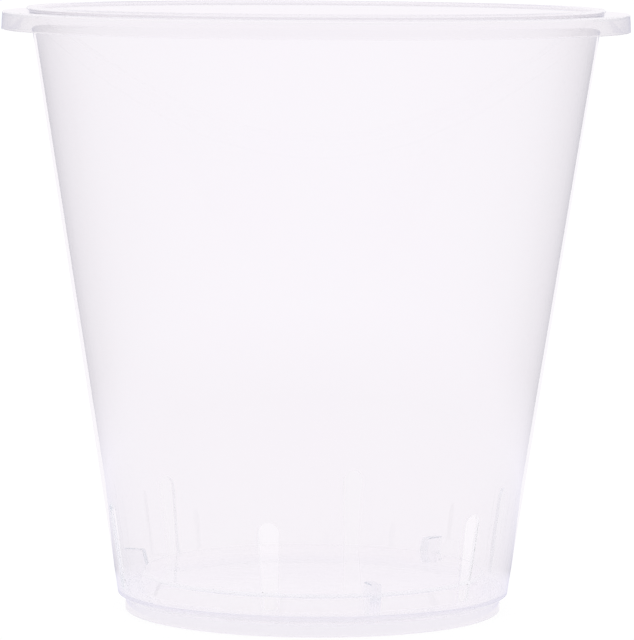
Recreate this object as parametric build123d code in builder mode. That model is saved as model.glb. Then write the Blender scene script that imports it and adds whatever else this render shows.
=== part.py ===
from build123d import *
import os

# Clear orchid pot: a tapered wall on a foot ring, slots low in the wall for air and water, a raised floor
# with a gutter round it, ribs in the gutter that keep stacked pots apart, and a rim turned down at its edge.
# The real pot is one moulding. Its sections are drawn as separate solids that meet face to face.
# Millimetres, +Z up. The origin is on the ground, at the middle of the foot ring, and the first slot faces -Y.

# Rim
rim_diameter = 160.0  # outside, over the skirt's lower edge
pot_height = 154.4  # ground to the top of the crest
crest_width = 2.0
crest_height = 1.2  # above the flange
crest_radius = 0.7
flange_wall = 1.1
flange_reach = 7.3  # from the wall's outside, out to the skirt's lower edge
skirt_wall = 1.1
skirt_drop = 3.6  # below the flange
skirt_flare = 0.25  # how far the skirt's lower edge stands out past its top
rim_corner_radius = 0.5

# Wall
wall = 1.1  # measured level, not square to the slope
wall_foot_diameter = 100.1  # outside, at the top of the foot ring

# Base
foot_inset = 1.9  # how far the foot ring stands in from the wall
foot_wall = 1.2
foot_height = 4.5
foot_step_height = 1.3  # the slope from the foot ring out to the wall
floor_wall = 1.2
gutter_width = 4.0
floor_rise = 4.6  # raised floor above the gutter
shoulder_lean = 1.3  # how far the raised floor's shoulder slopes in
shoulder_radius = 0.8

# Slots
slot_count = 6
slot_foot_width = 3.6
slot_head_width = 5.3
slot_height = 22.3
slot_corner_radius = 0.5
slot_sill = 1.2  # wall left between the gutter and the slot
slot_headroom = 2.6  # plain wall between the slot and the top of the slotted section

# Stacking ribs, the first midway between two slots
rib_count = 3
rib_thickness = 2.8
rib_height = 7.9  # above the gutter
rib_setback = 1.4  # rib's top stands back from the raised floor's edge
rib_edge_radius = 0.5
rib_clearance = 0.05  # between a rib and the curved faces on each side of it

# Edges
edge_radius = 0.3  # broken edges of the skirt and the foot ring
round_share = 0.9  # most of a wall's thickness that rounding may take

# Heights that follow
gutter_top = foot_height + floor_wall
raised_top = gutter_top + floor_rise
rib_root = raised_top - shoulder_radius  # where a rib's inner end leaves the shoulder
rib_top = gutter_top + rib_height
slot_bottom = gutter_top + slot_sill
slot_top = slot_bottom + slot_height
slotted_top = slot_top + slot_headroom
flange_top = pot_height - crest_height
flange_bottom = flange_top - flange_wall
skirt_bottom = flange_bottom - skirt_drop

# Radii that follow
rim_radius = rim_diameter / 2
wall_top_radius = rim_radius - flange_reach
wall_foot_radius = wall_foot_diameter / 2
foot_radius = wall_foot_radius - foot_inset
mouth_radius = wall_top_radius - wall
wall_slope = (wall_top_radius - wall_foot_radius) / (flange_bottom - foot_height)


def wall_radius(height):
    """Outside radius of the tapered wall at a height above the ground."""
    return wall_foot_radius + (height - foot_height) * wall_slope


def wall_section(low, high):
    """Corners of the wall's section between two heights, as radius and height."""
    return (
        (wall_radius(low) - wall, low),
        (wall_radius(low), low),
        (wall_radius(high), high),
        (wall_radius(high) - wall, high),
    )


shoulder_foot_radius = wall_radius(gutter_top) - wall - gutter_width
shoulder_top_radius = shoulder_foot_radius - shoulder_lean
shoulder_slope = shoulder_lean / floor_rise


def shoulder_radius_at(height):
    """Radius of the raised floor's shoulder at a height above the ground."""
    return shoulder_foot_radius - (height - gutter_top) * shoulder_slope


slot_step = 360 / slot_count
front = -90  # the first slot's direction, in degrees from +X
slot_planes = [Plane.XZ.rotated((0, 0, i * slot_step)) for i in range(slot_count)]
rib_turns = [front + slot_step / 2 + i * 360 / rib_count for i in range(rib_count)]
rib_planes = [Plane.XY.rotated((0, 0, turn)) for turn in rib_turns]

os.makedirs("parts", exist_ok=True)

# Foot ring, with the sloping step that carries the wall
with BuildPart() as foot_ring:
    with BuildSketch(Plane.XZ) as section:
        with BuildLine():
            Polyline(
                (foot_radius - foot_wall, 0),
                (foot_radius, 0),
                (foot_radius, foot_height - foot_step_height),
                (wall_foot_radius, foot_height),
                (foot_radius - foot_wall, foot_height),
                close=True,
            )
        make_face()
        fillet(section.vertices().group_by(Axis.Y)[0], min(edge_radius, foot_wall * round_share / 2))
    revolve(axis=Axis.Z)
foot_ring.part.label = "foot_ring"
export_step(foot_ring.part, "parts/foot_ring.step")

# Low ring of floor at the foot of the wall, where water gathers and runs to the slots
with BuildPart() as gutter_floor:
    with BuildSketch(Plane.XZ):
        with BuildLine():
            Polyline(
                (shoulder_foot_radius - floor_wall, foot_height),
                (wall_foot_radius, foot_height),
                (wall_radius(gutter_top), gutter_top),
                (shoulder_foot_radius - floor_wall, gutter_top),
                close=True,
            )
        make_face()
    revolve(axis=Axis.Z)
gutter_floor.part.label = "gutter_floor"
export_step(gutter_floor.part, "parts/gutter_floor.step")

# Raised middle of the floor, an upturned dish whose shoulder stands on the gutter's inner edge
with BuildPart() as raised_floor:
    with BuildSketch(Plane.XZ) as section:
        with BuildLine():
            Polyline(
                (0, raised_top - floor_wall),
                (shoulder_radius_at(raised_top - floor_wall) - floor_wall, raised_top - floor_wall),
                (shoulder_foot_radius - floor_wall, gutter_top),
                (shoulder_foot_radius, gutter_top),
                (shoulder_top_radius, raised_top),
                (0, raised_top),
                close=True,
            )
        make_face()
        fillet(section.vertices().group_by(Axis.Y)[-1].sort_by(Axis.X)[-1], shoulder_radius)
    revolve(axis=Axis.Z)
raised_floor.part.label = "raised_floor"
export_step(raised_floor.part, "parts/raised_floor.step")

# Ribs across the gutter: the foot ring of a pot stacked inside stands on their tops
for number, rib_plane in enumerate(rib_planes, start=1):
    with BuildPart() as stacking_rib:
        with BuildSketch(Plane.XZ):
            with BuildLine():
                Polyline(
                    (shoulder_foot_radius + rib_clearance, gutter_top),
                    (wall_radius(gutter_top) - wall - rib_clearance, gutter_top),
                    (wall_radius(rib_top) - wall - rib_clearance, rib_top),
                    (shoulder_top_radius + rib_setback, rib_top),
                    (shoulder_radius_at(rib_root) + rib_clearance, rib_root),
                    close=True,
                )
            make_face()
        revolve(axis=Axis.Z)
        with BuildSketch(rib_plane):
            Rectangle(wall_radius(rib_top), rib_thickness, align=(Align.MIN, Align.CENTER))
        extrude(amount=rib_top, mode=Mode.INTERSECT)
        top_sides = stacking_rib.faces().sort_by(Axis.Z)[-1].edges().filter_by(GeomType.LINE)
        fillet(top_sides, min(rib_edge_radius, rib_thickness * round_share / 2))
    stacking_rib.part.label = f"stacking_rib_{number}"
    export_step(stacking_rib.part, f"parts/stacking_rib_{number}.step")

# Lowest part of the wall, with slots that narrow downwards and have round heads
with BuildPart() as slotted_wall:
    with BuildSketch(Plane.XZ):
        with BuildLine():
            Polyline(*wall_section(gutter_top, slotted_top), close=True)
        make_face()
    revolve(axis=Axis.Z)
    with BuildSketch(*slot_planes) as slot:
        with BuildLine():
            sides = Polyline(
                (-slot_head_width / 2, slot_top - slot_head_width / 2),
                (-slot_foot_width / 2, slot_bottom),
                (slot_foot_width / 2, slot_bottom),
                (slot_head_width / 2, slot_top - slot_head_width / 2),
            )
            ThreePointArc(sides @ 0, (0, slot_top), sides @ 1)
        make_face()
        fillet(slot.vertices().group_by(Axis.Y)[0], slot_corner_radius)
    extrude(amount=wall_radius(slotted_top), mode=Mode.SUBTRACT)
slotted_wall.part.label = "slotted_wall"
export_step(slotted_wall.part, "parts/slotted_wall.step")

# Plain tapered wall from above the slots to the rim
with BuildPart() as upper_wall:
    with BuildSketch(Plane.XZ):
        with BuildLine():
            Polyline(*wall_section(slotted_top, flange_bottom), close=True)
        make_face()
    revolve(axis=Axis.Z)
upper_wall.part.label = "upper_wall"
export_step(upper_wall.part, "parts/upper_wall.step")

# Level ring at the mouth, rounded where it turns down into the skirt
with BuildPart() as rim_flange:
    with BuildSketch(Plane.XZ) as section:
        with BuildLine():
            Polyline(
                (mouth_radius, flange_bottom),
                (rim_radius - skirt_flare, flange_bottom),
                (rim_radius - skirt_flare, flange_top),
                (mouth_radius, flange_top),
                close=True,
            )
        make_face()
        outer_top = section.vertices().group_by(Axis.Y)[-1].sort_by(Axis.X)[-1]
        fillet(outer_top, min(rim_corner_radius, flange_wall * round_share))
    revolve(axis=Axis.Z)
rim_flange.part.label = "rim_flange"
export_step(rim_flange.part, "parts/rim_flange.step")

# Lip turned down at the flange's edge, flaring slightly to its lower edge
with BuildPart() as rim_skirt:
    with BuildSketch(Plane.XZ) as section:
        with BuildLine():
            Polyline(
                (rim_radius - skirt_wall, skirt_bottom),
                (rim_radius, skirt_bottom),
                (rim_radius - skirt_flare, flange_bottom),
                (rim_radius - skirt_flare - skirt_wall, flange_bottom),
                close=True,
            )
        make_face()
        fillet(section.vertices().group_by(Axis.Y)[0], min(edge_radius, skirt_wall * round_share / 2))
    revolve(axis=Axis.Z)
rim_skirt.part.label = "rim_skirt"
export_step(rim_skirt.part, "parts/rim_skirt.step")

# Bead that stands up round the mouth, with a rounded top
with BuildPart() as rim_crest:
    with BuildSketch(Plane.XZ) as section:
        with BuildLine():
            Polyline(
                (mouth_radius, flange_top),
                (mouth_radius + crest_width, flange_top),
                (mouth_radius + crest_width, pot_height),
                (mouth_radius, pot_height),
                close=True,
            )
        make_face()
        fillet(section.vertices().group_by(Axis.Y)[-1], min(crest_radius, crest_width * round_share / 2))
    revolve(axis=Axis.Z)
rim_crest.part.label = "rim_crest"
export_step(rim_crest.part, "parts/rim_crest.step")
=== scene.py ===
# %% [markdown]
# # A clear orchid pot
# The pot is one injection moulding of clear plastic: a tapered wall with slots low down, a rim that is turned
# down at its edge, and a raised floor with a gutter round it. Orchid roots need light and air, which is why
# the plastic is clear and why the slots are there.
#
# The CAD frame holds the true sizes. Clear plastic shows every inner face, so the joints between the CAD's
# sections would be seen as lines that the real pot doesn't have. Here the same shapes are modelled again as a
# few clean closed meshes, turned like work on a lathe, and each one stands for the CAD nodes that it covers.

# %% Load the CAD frame
import math

import bmesh
import bpy
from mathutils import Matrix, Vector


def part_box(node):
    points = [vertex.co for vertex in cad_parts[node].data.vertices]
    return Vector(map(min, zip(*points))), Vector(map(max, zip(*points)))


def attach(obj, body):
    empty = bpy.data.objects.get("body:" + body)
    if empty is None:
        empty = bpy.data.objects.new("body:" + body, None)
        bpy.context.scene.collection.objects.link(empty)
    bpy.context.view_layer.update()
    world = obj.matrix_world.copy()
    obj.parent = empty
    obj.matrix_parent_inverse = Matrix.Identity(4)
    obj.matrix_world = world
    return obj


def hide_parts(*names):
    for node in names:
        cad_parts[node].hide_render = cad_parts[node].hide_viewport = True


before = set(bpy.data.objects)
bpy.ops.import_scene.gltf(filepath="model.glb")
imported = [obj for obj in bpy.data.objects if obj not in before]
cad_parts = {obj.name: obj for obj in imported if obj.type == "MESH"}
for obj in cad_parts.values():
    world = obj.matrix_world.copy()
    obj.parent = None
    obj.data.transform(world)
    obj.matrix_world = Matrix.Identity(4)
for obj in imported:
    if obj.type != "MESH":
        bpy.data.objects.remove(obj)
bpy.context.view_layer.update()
bpy.ops.object.select_all(action="DESELECT")
print("CAD nodes:", ", ".join(sorted(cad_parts)))

# %% [markdown]
# ## Sizes
# A maker reads sizes off a drawing. Here they are read off the frame's nodes, whose boxes give most heights
# and radii, so the meshes follow the CAD model if its sizes change. What a box can't tell, such as the
# thickness of a wall or the radius of an edge, is named here. All of them are in millimetres.

# %% Sizes, in millimetres
MM = 0.001  # Blender works in metres


def height(node):
    """Top of a CAD node above the ground."""
    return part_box(node)[1].z / MM


def reach(node):
    """How far a CAD node reaches from the pot's axis."""
    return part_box(node)[1].x / MM


wall = 1.1
wall_foot = reach("foot_ring")
foot_top = height("foot_ring")
gutter_top = height("gutter_floor")
slotted_top = height("slotted_wall")
wall_top = height("upper_wall")
wall_slope = (reach("upper_wall") - wall_foot) / (wall_top - foot_top)


def wall_radius(z):
    """Outside radius of the tapered wall at a height."""
    return wall_foot + (z - foot_top) * wall_slope


print(f"wall from {wall_foot:.2f} to {wall_radius(wall_top):.2f} mm radius, {wall_top:.1f} mm high")

# %% [markdown]
# ## Drawing and turning a section
# Everything round on this pot can be turned: draw half of its section beside the axis, then sweep it round.
# One could also start from a cylinder and push its rings about, but a drawn section shows the wall's
# thickness and every corner at once, as a mould maker's drawing does.
#
# To draw with operators, a plane is merged into one vertex, which is then extruded from corner to corner.
# Its corners are rounded by a vertex bevel while the section is still a line, because there each rounding is
# a simple arc.

# %% Helpers that draw, round and turn a section
TURN_STEPS = 360  # one degree each, so that a clear limb shows no facets
ARC_STEPS = 5
NEAR = 0.01  # millimetres, for picking vertices by their place
MERGE = 0.002  # millimetres, for closing a seam
SMOOTH_BELOW = 30.0  # degrees between faces


def select(test):
    """Selects the vertices in edit mode whose place, in millimetres, passes the test."""
    mesh = bmesh.from_edit_mesh(bpy.context.object.data)
    for vertex in mesh.verts:
        vertex.select_set(test(vertex.co / MM))
    mesh.select_flush_mode()
    bmesh.update_edit_mesh(bpy.context.object.data)


def draw_line(name, corners):
    """A new object in edit mode: a line through corners, each a radius and a height."""
    bpy.ops.mesh.primitive_plane_add(size=MM, enter_editmode=True)
    line = bpy.context.object
    line.name = line.data.name = name
    bpy.ops.mesh.merge(type="CENTER")
    here = (0, 0)
    for r, z in corners:
        step = ((r - here[0]) * MM, 0, (z - here[1]) * MM)
        if here == (0, 0):
            bpy.ops.transform.translate(value=step)
        else:
            bpy.ops.mesh.extrude_vertices_move(TRANSFORM_OT_translate={"value": step})
        here = (r, z)
    return line


def close_line(first, last):
    """Joins the two ends of the line in edit mode."""
    ends = [first, last]
    select(lambda p: any(math.hypot(p.x - r, p.z - z) < NEAR for r, z in ends))
    bpy.ops.mesh.edge_face_add()


def round_corner(r, z, radius):
    """Rounds one corner of the line in edit mode."""
    select(lambda p: math.hypot(p.x - r, p.z - z) < NEAR)
    bpy.ops.mesh.bevel(affect="VERTICES", offset=radius * MM, segments=ARC_STEPS)


def turn():
    """Turns the line in edit mode once round the pot's axis and closes the seam and the poles."""
    bpy.ops.mesh.select_all(action="SELECT")
    bpy.ops.mesh.spin(steps=TURN_STEPS, angle=math.tau, center=(0, 0, 0), axis=(0, 0, 1))
    bpy.ops.mesh.select_all(action="SELECT")
    bpy.ops.mesh.remove_doubles(threshold=MERGE * MM)
    bpy.ops.mesh.normals_make_consistent(inside=False)


def finish(piece, *nodes):
    """Ends edit mode, shades the piece and lets it stand for its CAD nodes."""
    bpy.ops.object.mode_set(mode="OBJECT")
    bpy.ops.object.shade_smooth_by_angle(angle=math.radians(SMOOTH_BELOW))
    bpy.ops.object.modifier_add(type="WEIGHTED_NORMAL")
    piece.modifiers[-1].keep_sharp = True
    bpy.ops.object.modifier_apply(modifier=piece.modifiers[-1].name)
    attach(piece, "root")
    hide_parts(*nodes)
    mesh = bmesh.new()
    mesh.from_mesh(piece.data)
    open_edges = sum(not edge.is_manifold for edge in mesh.edges)
    print(f"{piece.name}: {len(mesh.faces)} faces, {open_edges} open edges, "
          f"{mesh.calc_volume() / MM**3:.0f} cubic mm")
    mesh.free()
    piece.select_set(False)


# %% [markdown]
# ## The wall
# The wall is a plain cone, level rings at both ends, as thick all the way up. An extra ring above the slots
# keeps the long faces of the upper wall out of the cutting that follows.
#
# The pot's real wall runs on into its floor and its rim. A hair's breadth is left between the meshes there,
# far too narrow to see, because two clear faces in the very same place give a renderer no order to pass them.

# %% Turn the wall
HAIR = 0.02  # between two clear meshes

wall_low, wall_high = gutter_top + HAIR, wall_top - HAIR
corners = [
    (wall_radius(wall_low) - wall, wall_low),
    (wall_radius(wall_low), wall_low),
    (wall_radius(slotted_top), slotted_top),
    (wall_radius(wall_high), wall_high),
    (wall_radius(wall_high) - wall, wall_high),
    (wall_radius(slotted_top) - wall, slotted_top),
]
tapered_wall = draw_line("tapered_wall", corners)
close_line(corners[0], corners[-1])
turn()
bpy.ops.object.mode_set(mode="OBJECT")
tapered_wall.select_set(False)
print(f"wall before cutting: {len(tapered_wall.data.polygons)} faces")

# %% [markdown]
# ## The slots
# Six slots let air in and water out. Each one narrows downwards and has a round head, so that the steel that
# forms it slides out of the hot plastic. A cutter of that shape is drawn as half a circle with its two ends
# pulled down, filled, and pushed through the wall. Copies of it stand round the pot, and a Boolean modifier
# takes them all out of the wall at once. The holes could also be cut face by face, but a cutter keeps their
# true outline, whatever the wall's own faces are.

# %% Cut the slots
SLOT_COUNT = 6
HEAD_POINTS = 48  # round a whole circle of the head's size
slot_head, slot_foot = 5.3, 3.6
slot_bottom, slot_top = gutter_top + 1.2, slotted_top - 2.6
slot_corner = 0.5
cut_from, cut_to = -46.0, -58.0  # inside and outside the wall in front

head_middle = slot_top - slot_head / 2
bpy.ops.mesh.primitive_circle_add(
    vertices=HEAD_POINTS, radius=slot_head / 2 * MM, enter_editmode=True,
    location=(0, cut_from * MM, head_middle * MM), rotation=(math.pi / 2, 0, 0),
)
cutter = bpy.context.object
bpy.ops.object.mode_set(mode="OBJECT")
bpy.ops.object.transform_apply(location=True, rotation=True, scale=True)
bpy.ops.object.mode_set(mode="EDIT")
select(lambda p: p.z < head_middle - NEAR)
bpy.ops.mesh.delete(type="VERT")
select(lambda p: p.z < head_middle + NEAR)
bpy.ops.mesh.extrude_vertices_move(
    TRANSFORM_OT_translate={"value": (0, 0, (slot_bottom - head_middle) * MM)}
)
bpy.ops.transform.resize(
    value=(slot_foot / slot_head, 1, 1), center_override=(0, cut_from * MM, slot_bottom * MM)
)
bpy.ops.mesh.bevel(affect="VERTICES", offset=slot_corner * MM, segments=ARC_STEPS)
bpy.ops.mesh.select_all(action="SELECT")
bpy.ops.mesh.edge_face_add()
bpy.ops.mesh.extrude_region_move(TRANSFORM_OT_translate={"value": (0, (cut_to - cut_from) * MM, 0)})
bpy.ops.mesh.select_all(action="SELECT")
bpy.ops.mesh.normals_make_consistent(inside=False)
bpy.ops.mesh.spin(
    dupli=True, steps=SLOT_COUNT - 1, angle=math.tau * (SLOT_COUNT - 1) / SLOT_COUNT,
    center=(0, 0, 0), axis=(0, 0, 1),
)
bpy.ops.object.mode_set(mode="OBJECT")
cutter.select_set(False)

bpy.context.view_layer.objects.active = tapered_wall
tapered_wall.select_set(True)
cut = tapered_wall.modifiers.new("slots", "BOOLEAN")
cut.operation, cut.object, cut.solver = "DIFFERENCE", cutter, "EXACT"
bpy.ops.object.modifier_apply(modifier=cut.name)
bpy.data.objects.remove(cutter)
finish(tapered_wall, "slotted_wall", "upper_wall")

# %% [markdown]
# ## The rim
# At the mouth the wall turns out into a level flange, which turns down again at its edge. That bent section
# is what makes a thin pot stiff enough to be lifted by its rim. A low bead stands round the mouth. The whole
# ring is one section, with the rounded corners that catch the light.

# %% Turn the rim
skirt_wall, skirt_flare = 1.1, 0.25
crest_width = 2.0
crest_corner, flange_corner, skirt_corner = 0.7, 0.5, 0.3

mouth = wall_radius(wall_top) - wall
rim = reach("rim_flange")
lip = rim + skirt_flare
flange_top = height("rim_flange")
crest_top = height("rim_crest")
skirt_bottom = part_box("rim_skirt")[0].z / MM
corners = [
    (mouth, wall_top),
    (rim - skirt_wall, wall_top),
    (lip - skirt_wall, skirt_bottom),
    (lip, skirt_bottom),
    (rim, flange_top),
    (mouth + crest_width, flange_top),
    (mouth + crest_width, crest_top),
    (mouth, crest_top),
]
turned_rim = draw_line("turned_rim", corners)
close_line(corners[0], corners[-1])
for corner in corners[2:4]:
    round_corner(*corner, skirt_corner)
round_corner(*corners[4], flange_corner)
for corner in corners[6:8]:
    round_corner(*corner, crest_corner)
turn()
finish(turned_rim, "rim_flange", "rim_skirt", "rim_crest")

# %% [markdown]
# ## The floor and the foot
# The floor's middle is raised like an upturned dish. Water runs off it into the gutter round it and out
# through the slots. A narrow foot ring, set in from the wall with a sloping step, keeps the floor off the
# shelf. The section starts and ends on the axis, so turning it closes the floor at its middle.

# %% Turn the floor and the foot
floor_wall, foot_wall = 1.2, 1.2
foot_inset, foot_step = 1.9, 1.3
shoulder_lean, shoulder_corner = 1.3, 0.8
foot_corner = 0.3

foot = wall_foot - foot_inset
shoulder = reach("raised_floor")
floor_top = height("raised_floor")
shoulder_slope = shoulder_lean / (floor_top - gutter_top)
corners = [
    (0.0, floor_top),
    (shoulder - shoulder_lean, floor_top),
    (shoulder, gutter_top),
    (wall_radius(gutter_top), gutter_top),
    (wall_foot, foot_top),
    (foot, foot_top - foot_step),
    (foot, 0.0),
    (foot - foot_wall, 0.0),
    (foot - foot_wall, foot_top),
    (shoulder - floor_wall, foot_top),
    (shoulder - floor_wall, gutter_top),
    (shoulder - floor_wall - shoulder_lean + floor_wall * shoulder_slope, floor_top - floor_wall),
    (0.0, floor_top - floor_wall),
]
floor_and_foot = draw_line("floor_and_foot", corners)
round_corner(*corners[1], shoulder_corner)
for corner in corners[6:8]:
    round_corner(*corner, foot_corner)
turn()
finish(floor_and_foot, "foot_ring", "gutter_floor", "raised_floor")

# %% [markdown]
# ## The stacking ribs
# Empty pots are stacked. Three short ribs across the gutter carry the foot of the pot above, so that the two
# walls don't jam. One rib is drawn as the shape between the floor's shoulder and the wall, thickened, and the
# long edges of its top are rounded. The other two are copies, each turned to its place with its own mesh.

# %% Make one rib
RIB_COUNT = 3
first_rib_turn = -60.0  # degrees from +X, midway between two slots
rib_corner = 0.5
rib_clearance = 0.05  # to the floor's shoulder and the wall
rib_setback = 1.4

rib_low, rib_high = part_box("stacking_rib_3")  # the rib that lies along X
rib_thickness = (rib_high.y - rib_low.y) / MM
rib_top = rib_high.z / MM
rib_root = floor_top - shoulder_corner
corners = [
    (shoulder + rib_clearance, gutter_top + HAIR),
    (wall_radius(gutter_top) - wall - rib_clearance, gutter_top + HAIR),
    (wall_radius(rib_top) - wall - rib_clearance, rib_top),
    (shoulder - shoulder_lean + rib_setback, rib_top),
    (shoulder - (rib_root - gutter_top) * shoulder_slope + rib_clearance, rib_root),
]
first_rib = draw_line("gutter_rib_1", corners)
bpy.ops.mesh.select_all(action="SELECT")
bpy.ops.mesh.edge_face_add()
bpy.ops.transform.translate(value=(0, -rib_thickness / 2 * MM, 0))
bpy.ops.mesh.extrude_region_move(TRANSFORM_OT_translate={"value": (0, rib_thickness * MM, 0)})
bpy.ops.mesh.select_all(action="SELECT")
bpy.ops.mesh.normals_make_consistent(inside=False)
bpy.ops.mesh.select_mode(type="EDGE")
mesh = bmesh.from_edit_mesh(first_rib.data)
for edge in mesh.edges:
    a, b = (vertex.co / MM for vertex in edge.verts)
    edge.select_set(min(a.z, b.z) > rib_top - NEAR and abs(a.y - b.y) < NEAR)
bmesh.update_edit_mesh(first_rib.data)
bpy.ops.mesh.bevel(offset=rib_corner * MM, segments=ARC_STEPS)
bpy.ops.mesh.select_mode(type="VERT")
bpy.ops.object.mode_set(mode="OBJECT")
print(f"one rib: {rib_thickness:.1f} mm thick, {rib_top - gutter_top:.1f} mm high")

# %% Place the ribs round the gutter
ribs = [first_rib]
for number in range(2, RIB_COUNT + 1):
    rib = first_rib.copy()
    rib.data = first_rib.data.copy()
    rib.name = rib.data.name = f"gutter_rib_{number}"
    bpy.context.collection.objects.link(rib)
    ribs.append(rib)
for number, rib in enumerate(ribs, start=1):
    bpy.ops.object.select_all(action="DESELECT")
    bpy.context.view_layer.objects.active = rib
    rib.select_set(True)
    rib.rotation_euler.z = math.radians(first_rib_turn) + math.tau * (number - 1) / RIB_COUNT
    bpy.ops.object.transform_apply(location=False, rotation=True, scale=False)
    finish(rib, f"stacking_rib_{number}")

# %% [markdown]
# ## Clear moulded polypropylene
# Polypropylene made clear by a nucleating agent is the usual plastic for such pots. Its surface copies the
# polished mould, so it is glossy, but not as even as glass. The melt leaves long, very shallow flow lines up
# the wall, thin walls cool a little wavy, and the foot and the mouth get fine scuffs from shelves and stacking.
#
# A Principled shader with full transmission gives the clearness. Light passes many clear faces here, and each
# one takes its share, so the tint is kept far paler than the pot looks. A little light is also lost on the way
# through the plastic. That hardly shows in the thin wall, but edges look bluer and darker by it. All patterns
# read Object coordinates, and their scales come from sizes in millimetres.
#
# Three places are greyer, and each gets a slight tint of its own. One is a line along the foot of the rim's bead:
# painted shade, a grey line that stands in for the dark line which the rim's edge shows. One is the outside of
# the base, which is tinted a trace greyer. The last is the ribs, as thick plastic cools slowly and turns milky.

# %% Helpers for materials


def linear(hex_colour):
    """An sRGB hex colour as linear red, green, blue and alpha."""
    channels = [int(hex_colour[i:i + 2], 16) / 255 for i in (1, 3, 5)]
    return [c / 12.92 if c <= 0.04045 else ((c + 0.055) / 1.055) ** 2.4 for c in channels] + [1.0]


def add_node(tree, kind, inputs=None, **settings):
    """Adds a node. Settings are its own, and inputs are values for its sockets or sockets to link to them."""
    node = tree.nodes.new(kind)
    for name, value in settings.items():
        setattr(node, name, value)
    for name, value in (inputs or {}).items():
        if isinstance(value, bpy.types.NodeSocket):
            tree.links.new(value, node.inputs[name])
        else:
            node.inputs[name].default_value = value
    return node


def per_mm(size):
    """Scale of a noise whose patches are about this size, in millimetres."""
    return 1 / (size * MM)


# %% Make the plastic
plastic = bpy.data.materials.new("clear moulded polypropylene")
plastic.use_nodes = True
tree = plastic.node_tree
tree.nodes.clear()
place = add_node(tree, "ShaderNodeTexCoord").outputs["Object"]

# Haze: broad clouds in which the plastic is a trace pinker and duller
CLOUD_SIZE = 35.0
cloud = add_node(tree, "ShaderNodeTexNoise", {"Vector": place, "Scale": per_mm(CLOUD_SIZE), "Detail": 2.0})
tint = add_node(
    tree, "ShaderNodeMix",
    {"Factor": cloud.outputs["Fac"], "A": linear("#FFFFFF"), "B": linear("#FFFEFF")}, data_type="RGBA",
)
haze = add_node(
    tree, "ShaderNodeMapRange",
    {"Value": cloud.outputs["Fac"], "From Min": 0.3, "From Max": 0.7, "To Min": 0.01, "To Max": 0.03},
)

# Height above the ground and distance from the pot's axis
up = add_node(tree, "ShaderNodeSeparateXYZ", {"Vector": place}).outputs["Z"]
level = add_node(tree, "ShaderNodeVectorMath", {0: place, 1: (1, 1, 0)}, operation="MULTIPLY")
out = add_node(tree, "ShaderNodeVectorMath", {0: level.outputs["Vector"]}, operation="LENGTH").outputs["Value"]

# Painted shade: a fine grey line along the foot of the bead, standing in for the dark line at the rim's edge
LINE_BELOW, LINE_FULL, LINE_END = 0.1, 0.3, 0.6  # from the corner at the bead's foot
line_starts = add_node(
    tree, "ShaderNodeMapRange",
    {"Value": up, "From Min": (flange_top - LINE_BELOW) * MM, "From Max": (flange_top - HAIR) * MM},
)
line_ends = add_node(
    tree, "ShaderNodeMapRange",
    {
        "Value": up, "From Min": (flange_top + LINE_FULL) * MM, "From Max": (flange_top + LINE_END) * MM,
        "To Min": 1.0, "To Max": 0.0,
    },
)
bead_foot = mouth + crest_width
line_leaves = add_node(
    tree, "ShaderNodeMapRange",
    {
        "Value": out, "From Min": (bead_foot + LINE_FULL) * MM, "From Max": (bead_foot + LINE_END) * MM,
        "To Min": 1.0, "To Max": 0.0,
    },
)
line_height = add_node(
    tree, "ShaderNodeMath", {0: line_starts.outputs["Result"], 1: line_ends.outputs["Result"]},
    operation="MULTIPLY",
)
painted_shade_line = add_node(
    tree, "ShaderNodeMath", {0: line_height.outputs["Value"], 1: line_leaves.outputs["Result"]},
    operation="MULTIPLY",
)
# Mixes in the painted shade along the foot of the bead
tint = add_node(
    tree, "ShaderNodeMix",
    {"Factor": painted_shade_line.outputs["Value"], "A": tint.outputs["Result"], "B": linear("#F1F0F3")}, data_type="RGBA",
)

# Base: the outside of the floor's edge is tinted a trace greyer, and so, by half as much, is the foot
BASE_FADE = 0.3  # over which the grey sets in or ends
FOOT_SHARE = 0.5
outside = add_node(
    tree, "ShaderNodeMapRange",
    {"Value": out, "From Min": (foot - BASE_FADE) * MM, "From Max": (foot - BASE_FADE / 3) * MM},
)
base_grows = add_node(
    tree, "ShaderNodeMapRange",
    {
        "Value": up, "From Min": (foot_top - 2 * BASE_FADE) * MM, "From Max": (foot_top - BASE_FADE) * MM,
        "To Min": FOOT_SHARE, "To Max": 1.0,
    },
)
base_ends = add_node(
    tree, "ShaderNodeMapRange",
    {
        "Value": up, "From Min": (gutter_top - BASE_FADE) * MM, "From Max": gutter_top * MM,
        "To Min": 1.0, "To Max": 0.0,
    },
)
base_height = add_node(
    tree, "ShaderNodeMath", {0: base_grows.outputs["Result"], 1: base_ends.outputs["Result"]},
    operation="MULTIPLY",
)
on_base = add_node(
    tree, "ShaderNodeMath", {0: base_height.outputs["Value"], 1: outside.outputs["Result"]},
    operation="MULTIPLY",
)
tint = add_node(
    tree, "ShaderNodeMix",
    {"Factor": on_base.outputs["Value"], "A": tint.outputs["Result"], "B": linear("#EDECF3")}, data_type="RGBA",
)

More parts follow.
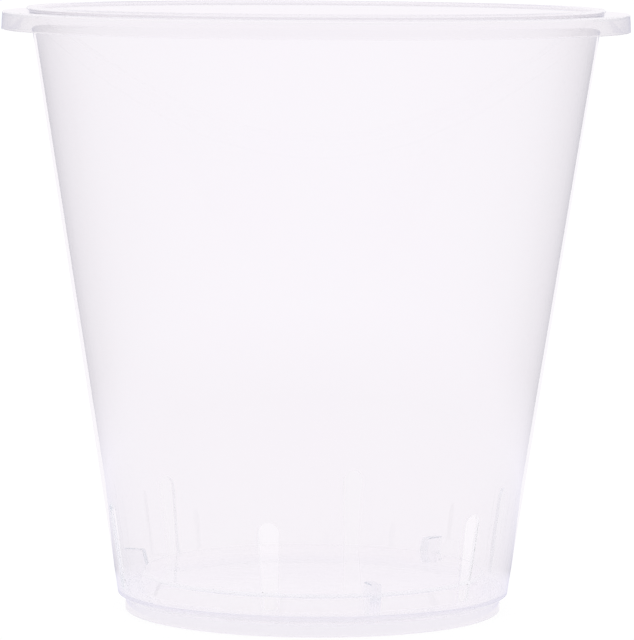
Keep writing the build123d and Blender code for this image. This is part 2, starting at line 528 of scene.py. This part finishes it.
# Scuffs: fine marks on the lowest part of the foot and on the top of the mouth
FOOT_SCUFFS, MOUTH_SCUFFS, MARK_SIZE = 1.5, 0.8, 0.9
on_foot = add_node(
    tree, "ShaderNodeMapRange",
    {"Value": up, "From Min": 0.0, "From Max": FOOT_SCUFFS * MM, "To Min": 1.0, "To Max": 0.0},
)
on_mouth = add_node(
    tree, "ShaderNodeMapRange",
    {
        "Value": up, "From Min": (crest_top - MOUTH_SCUFFS) * MM, "From Max": crest_top * MM,
        "To Min": 0.0, "To Max": 1.0,
    },
)
on_edges = add_node(
    tree, "ShaderNodeMath", {0: on_foot.outputs["Result"], 1: on_mouth.outputs["Result"]}, operation="MAXIMUM",
)
marks = add_node(tree, "ShaderNodeTexNoise", {"Vector": place, "Scale": per_mm(MARK_SIZE), "Detail": 3.0})
scuffs = add_node(
    tree, "ShaderNodeMapRange",
    {"Value": marks.outputs["Fac"], "From Min": 0.5, "From Max": 0.65, "To Min": 0.0, "To Max": 0.12},
)
worn = add_node(
    tree, "ShaderNodeMath", {0: on_edges.outputs["Value"], 1: scuffs.outputs["Result"]}, operation="MULTIPLY",
)
dull = add_node(
    tree, "ShaderNodeMath", {0: haze.outputs["Result"], 1: worn.outputs["Value"]}, operation="ADD",
)

# Waves and flow lines: the real lines are finer than a pixel, so they are drawn 2.5 mm apart
WAVE_SIZE, WAVE_DEPTH = 14.0, 0.02
FLOW_SIZE, FLOW_DEPTH, FLOW_STRETCH = 2.5, 0.004, 25.0
wave = add_node(tree, "ShaderNodeTexNoise", {"Vector": place, "Scale": per_mm(WAVE_SIZE), "Detail": 1.0})
waves = add_node(
    tree, "ShaderNodeBump", {"Height": wave.outputs["Fac"], "Strength": 1.0, "Distance": WAVE_DEPTH * MM},
)
upright = add_node(tree, "ShaderNodeMapping", {"Vector": place, "Scale": (1, 1, 1 / FLOW_STRETCH)})
flow = add_node(
    tree, "ShaderNodeTexNoise",
    {"Vector": upright.outputs["Vector"], "Scale": per_mm(FLOW_SIZE), "Detail": 2.0},
)
lines = add_node(
    tree, "ShaderNodeBump",
    {
        "Height": flow.outputs["Fac"], "Strength": 1.0, "Distance": FLOW_DEPTH * MM,
        "Normal": waves.outputs["Normal"],
    },
)

shader = add_node(
    tree, "ShaderNodeBsdfPrincipled",
    {
        "Base Color": tint.outputs["Result"],
        "Roughness": dull.outputs["Value"],
        "Normal": lines.outputs["Normal"],
        "IOR": 1.49,
        "Transmission Weight": 1.0,
    },
)
# Loss of light inside the plastic, for each metre of the way
depth = add_node(tree, "ShaderNodeVolumeAbsorption", {"Color": linear("#EAEFF3"), "Density": 5.0})
add_node(
    tree, "ShaderNodeOutputMaterial", {"Surface": shader.outputs["BSDF"], "Volume": depth.outputs["Volume"]},
)
for piece in (tapered_wall, turned_rim, floor_and_foot):
    piece.data.materials.clear()
    piece.data.materials.append(plastic)
print("plastic nodes:", len(tree.nodes))

# %% Make the ribs' plastic
MILKY = 60.0  # loss of light, for each metre of the way

milky_plastic = plastic.copy()
milky_plastic.name = "clear moulded polypropylene, milky where thick"
milky_plastic.node_tree.nodes[depth.name].inputs["Density"].default_value = MILKY
for rib in ribs:
    rib.data.materials.clear()
    rib.data.materials.append(milky_plastic)
print("ribs in:", milky_plastic.name)

# %% [markdown]
# ## Floor and backdrop
# A clear thing shows by what it mirrors and bends, so the room matters as much as the plastic. Here it is a
# light table: a white sheet lit from below, under a white sky. A cut-out product picture has its pure white
# laid in afterwards, and the pot still shows the faint lilac of the room that it stood in. A Light Path node
# does the same: the camera sees white, and the pot sees the lilac room.
#
# A ray that runs on inside a wall would be followed for ever, so after some reflections it ends with the sky's
# light. In the real plastic it leaves by the haze.

# %% Floor and sky
CAMERA_AZIMUTH = 11.85  # degrees round from -Y towards +X
FLOOR_SIZE = 40.0  # metres, so that no edge shows
FLOOR_LIGHT, SKY_LIGHT = 0.95, 1.03
room = linear("#F8F5F9")
white = linear("#FFFFFF")

bpy.ops.object.select_all(action="DESELECT")
bpy.ops.mesh.primitive_plane_add(size=FLOOR_SIZE)
floor = bpy.context.object
floor.name = "floor"
floor.rotation_euler.z = math.radians(CAMERA_AZIMUTH)
sheet = bpy.data.materials.new("white acrylic sheet lit from below")
sheet.use_nodes = True
tree = sheet.node_tree
rays = add_node(tree, "ShaderNodeLightPath")
seen = add_node(
    tree, "ShaderNodeMix", {"Factor": rays.outputs["Is Camera Ray"], "A": room, "B": white}, data_type="RGBA",
)
shader = tree.nodes["Principled BSDF"]
shader.inputs["Base Color"].default_value = linear("#505050")
shader.inputs["Roughness"].default_value = 0.9
shader.inputs["Specular IOR Level"].default_value = 0.0
tree.links.new(seen.outputs["Result"], shader.inputs["Emission Color"])
shader.inputs["Emission Strength"].default_value = FLOOR_LIGHT
floor.data.materials.append(sheet)

world = bpy.data.worlds.new("white sky")
world.use_nodes = True
tree = world.node_tree
rays = add_node(tree, "ShaderNodeLightPath")
seen = add_node(
    tree, "ShaderNodeMix", {"Factor": rays.outputs["Is Camera Ray"], "A": room, "B": white}, data_type="RGBA",
)
tree.links.new(seen.outputs["Result"], tree.nodes["Background"].inputs["Color"])
tree.nodes["Background"].inputs["Strength"].default_value = SKY_LIGHT
bpy.context.scene.world = world
bpy.context.scene.view_settings.view_transform = "Standard"
print("floor and sky nodes:", len(sheet.node_tree.nodes), len(tree.nodes))

# %% How far light is followed
MOST_BOUNCES, SKY_AFTER = 64, 16  # reflections

cycles = bpy.context.scene.cycles
cycles.max_bounces = cycles.glossy_bounces = cycles.transmission_bounces = MOST_BOUNCES
cycles.use_fast_gi = True
cycles.fast_gi_method = "REPLACE"
cycles.ao_bounces_render = SKY_AFTER
world.light_settings.distance = 0.5 * MM
world.light_settings.ao_factor = 1.0
print(f"light is followed for {MOST_BOUNCES} reflections")

# %% [markdown]
# ## Dark card
# In an even white room a clear pot would vanish. So a photographer puts dark card round it, outside the
# picture. Every clear face mirrors some of it, most of all where the face is seen edge-on, and that draws the
# dark lines along the wall and the rim. One card lies round the foot and stands up round the pot, with a gap
# behind it. A low ring closes the gap at the height of the rim, and a band of card hangs above the pot.
#
# The card's grey is a faint glow, and that glow is painted light: it is lighter in some places, such as in front,
# so that the middle of the wall stays pale, and the pot's faces mirror it as painted reflections. Only
# reflections see the card, so it takes no light from the pot.

# %% Directions on the card
GAP_LEFT, GAP_RIGHT = 40.0, 38.0  # degrees to each side of the way straight back from the camera
card_turn = 90 + GAP_LEFT

# Painted light: a black card whose glow stands for the light on it
felt = bpy.data.materials.new("black card with a painted glow")
felt.use_nodes = True
tree = felt.node_tree
place = add_node(tree, "ShaderNodeTexCoord").outputs["Object"]
level = add_node(
    tree, "ShaderNodeVectorRotate", {"Vector": place, "Axis": (0, 0, 1), "Angle": math.radians(card_turn)},
    rotation_type="AXIS_ANGLE",
).outputs["Vector"]
split = add_node(tree, "ShaderNodeSeparateXYZ", {"Vector": level})
length = add_node(tree, "ShaderNodeVectorMath", {"Vector": level}, operation="LENGTH")
directions = {
    "away": split.outputs["Y"],  # from the camera
    "up": split.outputs["Z"],
    "out": length.outputs["Value"],  # from the pot's foot
}
print("directions on the card:", ", ".join(directions))

# %% Painted glow on the card
# Each one changes along a direction, from a place to a place in millimetres and from a tone to a tone
RAMPS = {
    "lying_card": ("away", -80, 120, 0.1, 0.85),
    "at_foot": ("out", 72, 100, 0.9, 0.0),
    "front": ("away", -200, 60, 0.8, 0.18),
    "back": ("away", 60, 190, 0.0, 0.2),
    "rim_front": ("away", -195, -120, 0.7, 0.0),
    "below_skirt": ("up", 155, 158, 1.0, 0.0),
    "rim_back": ("away", 20, 190, 0.0, 0.75),
    "standing": ("up", 0, 25, 0.0, 1.0),
    "rim_height": ("up", 125, 138, 0.0, 1.0),
}
tones = {}
for name, (direction, start, end, tone_start, tone_end) in RAMPS.items():
    tones[name] = add_node(
        tree, "ShaderNodeMapRange",
        {
            "Value": directions[direction], "From Min": start * MM, "From Max": end * MM,
            "To Min": tone_start, "To Max": tone_end,
        },
    ).outputs["Result"]
print("tones of the painted glow:", len(tones))

# %% Put the tones together
JOINED = [
    ("on_table", "MAXIMUM", "lying_card", "at_foot"),
    ("round_wall", "ADD", "front", "back"),
    ("rim_patch", "MULTIPLY", "rim_front", "below_skirt"),
    ("round_rim", "MAXIMUM", "rim_patch", "rim_back"),
]
for name, operation, first, second in JOINED:
    tones[name] = add_node(
        tree, "ShaderNodeMath", {0: tones[first], 1: tones[second]}, operation=operation,
    ).outputs["Value"]
MIXED = [
    ("upright", "rim_height", "round_wall", "round_rim"),
    ("whole_card", "standing", "on_table", "upright"),
]
for name, share, first, second in MIXED:
    tones[name] = add_node(
        tree, "ShaderNodeMix", {"Factor": tones[share], "A": tones[first], "B": tones[second]}, data_type="FLOAT",
    ).outputs["Result"]
shader = tree.nodes["Principled BSDF"]
shader.inputs["Base Color"].default_value = linear("#000000")
shader.inputs["Roughness"].default_value = 1.0
# The glow is painted light, in tones placed for what the pot's faces mirror
shader.inputs["Emission Color"].default_value = linear("#E8E6FA")
tree.links.new(tones["whole_card"], shader.inputs["Emission Strength"])
print("painted glow card nodes:", len(tree.nodes))

# %% Cut and stand the card
CARD_STEPS = 120
card_inner, card_outer, card_top = 52.0, 200.0, 170.0
ring_low, ring_high = 138.0, 155.5
band_radius, band_low, band_high = 300.0, 310.0, 700.0
LIFT = 0.1  # off the table


def stand_card(name, corners, gap):
    """Card spun round the pot from a line of corners, with a gap in degrees, and seen by reflections only."""
    card = draw_line(name, corners)
    bpy.ops.mesh.select_all(action="SELECT")
    bpy.ops.mesh.spin(steps=CARD_STEPS, angle=math.radians(gap) - math.tau, center=(0, 0, 0), axis=(0, 0, 1))
    bpy.ops.object.mode_set(mode="OBJECT")
    card.rotation_euler.z = math.radians(CAMERA_AZIMUTH + card_turn)
    for rays in ("camera", "diffuse", "transmission", "volume_scatter", "shadow"):
        setattr(card, f"visible_{rays}", False)
    card.data.materials.append(felt)
    print(f"{name}: {len(card.data.polygons)} faces")


stand_card(
    "dark_card", [(card_inner, LIFT), (card_outer, LIFT), (card_outer, card_top)], GAP_LEFT + GAP_RIGHT,
)
stand_card("dark_ring", [(card_outer + 1, ring_low), (card_outer + 1, ring_high)], 0.0)
stand_card("dark_band", [(band_radius, band_low), (band_radius, band_high)], 0.0)

# %% [markdown]
# ## Camera
# The picture was taken from a little over a metre away, just above the height of the rim, with a long lens:
# the rim's ellipse is only a few millimetres open, and the two sides of the wall lean alike.

# %% Camera
CAMERA_DISTANCE, CAMERA_HEIGHT = 1150.0, 182.3  # from the pot's axis, above the ground
CAMERA_DOWN, CAMERA_ROLL = 5.36, 0.37  # degrees
LENS = 253.6  # millimetres, on the usual 36 mm sensor
FAR_END = 100  # metres
side = math.radians(CAMERA_AZIMUTH)
bpy.ops.object.camera_add(
    location=(
        CAMERA_DISTANCE * MM * math.sin(side), -CAMERA_DISTANCE * MM * math.cos(side), CAMERA_HEIGHT * MM,
    ),
    rotation=(math.radians(90 - CAMERA_DOWN), math.radians(-CAMERA_ROLL), side),
)
camera = bpy.context.object
camera.data.lens = LENS
camera.data.clip_end = FAR_END
bpy.context.scene.camera = camera
print(f"camera {CAMERA_DISTANCE:.0f} mm away, {CAMERA_HEIGHT:.0f} mm high")
